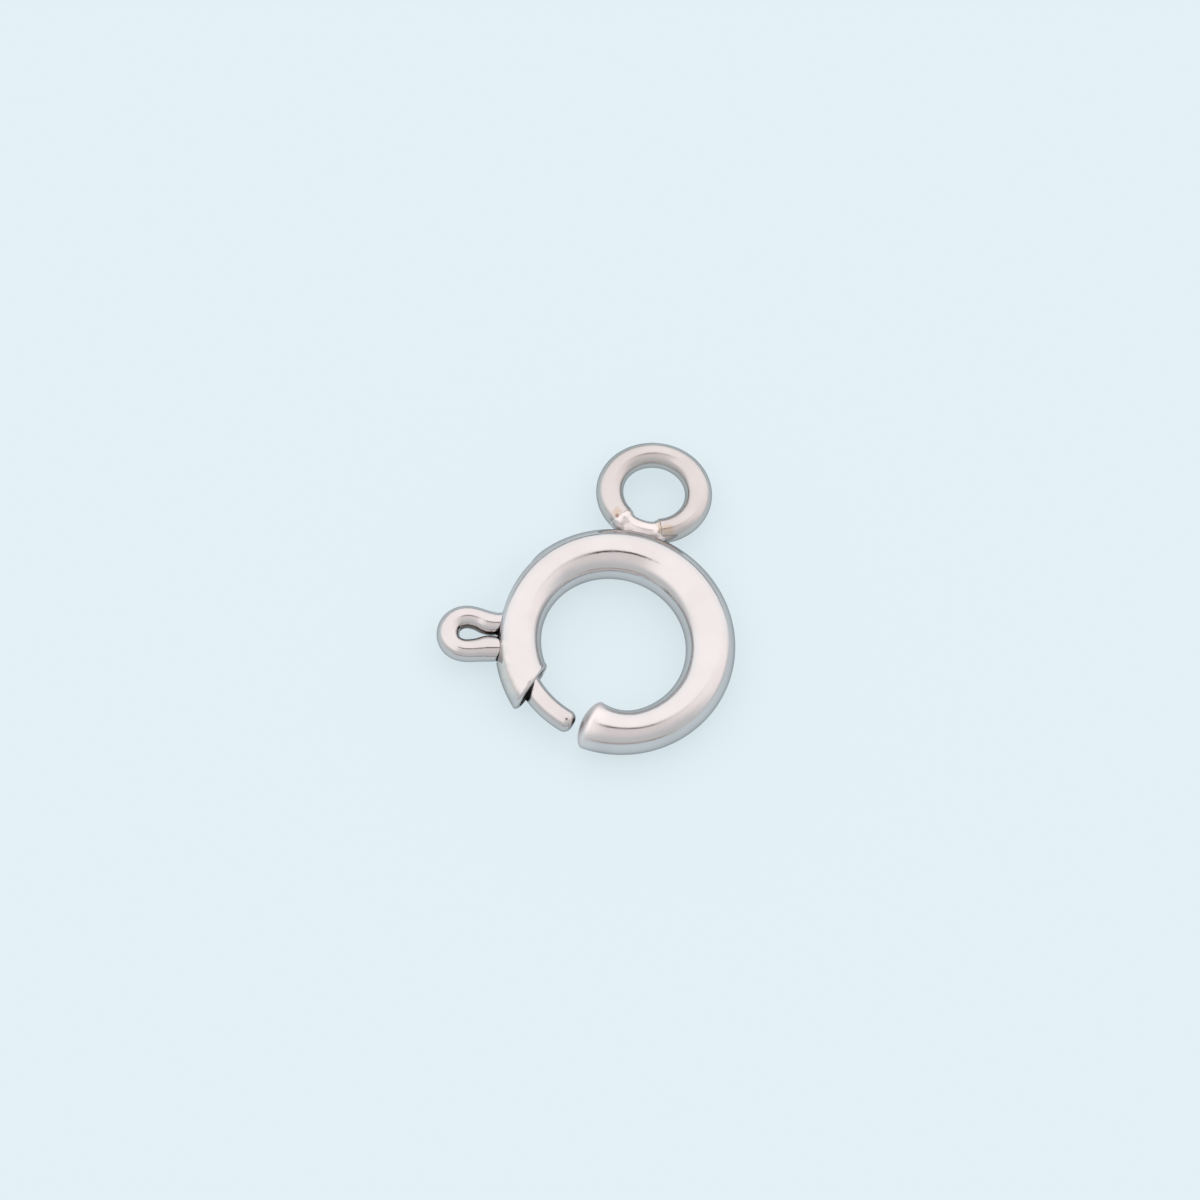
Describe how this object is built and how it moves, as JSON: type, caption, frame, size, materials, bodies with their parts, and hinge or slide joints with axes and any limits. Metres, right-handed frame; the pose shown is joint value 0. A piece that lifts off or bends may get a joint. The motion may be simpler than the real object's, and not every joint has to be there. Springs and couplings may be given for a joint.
{
  "type": "spring ring clasp",
  "caption": "Round spring ring clasp: a bent metal tube with a gap, a sprung wire bolt with a thumb loop that slides round to close the gap, and a small wire eye soldered on outside.",
  "frame": {"origin": "centre of the ring, at the middle of the tube's height", "axes": "+Z along the ring's axis, up from the surface that the clasp lies on; +Y from the ring's centre to the eye's centre; the thumb loop is on -X and the mouth is at the -Y side"},
  "size_m": [0.0074, 0.0085, 0.0012],
  "materials": {
    "ring_plating": "polished silver-coloured plating, slightly warm, with faint hand-polishing waves",
    "bolt_plating": "polished silver-coloured plating on drawn wire"
  },
  "bodies": {
    "ring": {"ring_body": "ring_plating"},
    "bolt": {"bolt": "bolt_plating"}
  },
  "joints": [
    {"name": "bolt_slide", "type": "hinge", "parent": "ring", "child": "bolt", "pos_m": [0, 0, 0], "axis": [0, 0, 1], "range_deg": [-34, 0], "stiffness_Nm_per_rad": 0.002}
  ]
}
